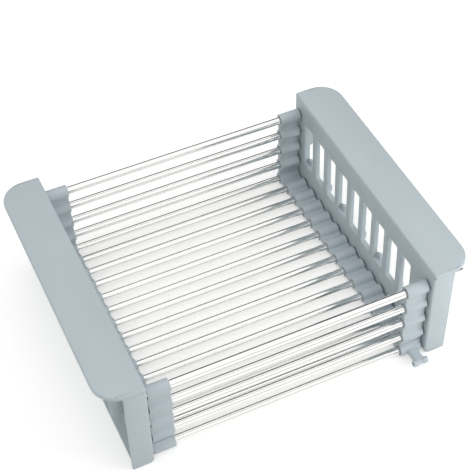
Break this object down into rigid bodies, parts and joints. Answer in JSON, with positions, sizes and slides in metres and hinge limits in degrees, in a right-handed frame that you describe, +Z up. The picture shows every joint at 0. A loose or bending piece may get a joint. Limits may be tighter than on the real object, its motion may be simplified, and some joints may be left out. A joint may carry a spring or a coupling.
{
  "type": "expandable dish drainer",
  "caption": "Extending sink dish drainer basket: slotted plastic end panels with rim flanges, and steel rods that slide through scalloped joiners.",
  "frame": {"origin": "middle of the closed drainer's base, on the surface it stands on", "axes": "+X along the rods, the way the right half pulls out, +Y to the back wall, +Z up"},
  "size_m": [0.26, 0.219, 0.08],
  "materials": {
    "panel_plastic": "satin moulded blue-grey plastic",
    "joiner_plastic": "satin moulded blue-grey plastic",
    "polished_steel": "polished stainless steel tube"
  },
  "bodies": {
    "left_half": {"left_end_panel": "panel_plastic", "left_joiner": "joiner_plastic", "left_rod_01": "polished_steel", "left_rod_02": "polished_steel", "left_rod_03": "polished_steel", "left_rod_04": "polished_steel", "left_rod_05": "polished_steel", "left_rod_06": "polished_steel", "left_rod_07": "polished_steel", "left_rod_08": "polished_steel", "left_rod_09": "polished_steel", "left_rod_10": "polished_steel", "left_rod_11": "polished_steel", "left_rod_12": "polished_steel"},
    "right_half": {"right_end_panel": "panel_plastic", "right_joiner": "joiner_plastic", "right_rod_01": "polished_steel", "right_rod_02": "polished_steel", "right_rod_03": "polished_steel", "right_rod_04": "polished_steel", "right_rod_05": "polished_steel", "right_rod_06": "polished_steel", "right_rod_07": "polished_steel", "right_rod_08": "polished_steel", "right_rod_09": "polished_steel", "right_rod_10": "polished_steel", "right_rod_11": "polished_steel"}
  },
  "joints": [
    {"name": "extension", "type": "slide", "parent": "left_half", "child": "right_half", "axis": [1, 0, 0], "range_m": [0, 0.1663]}
  ]
}
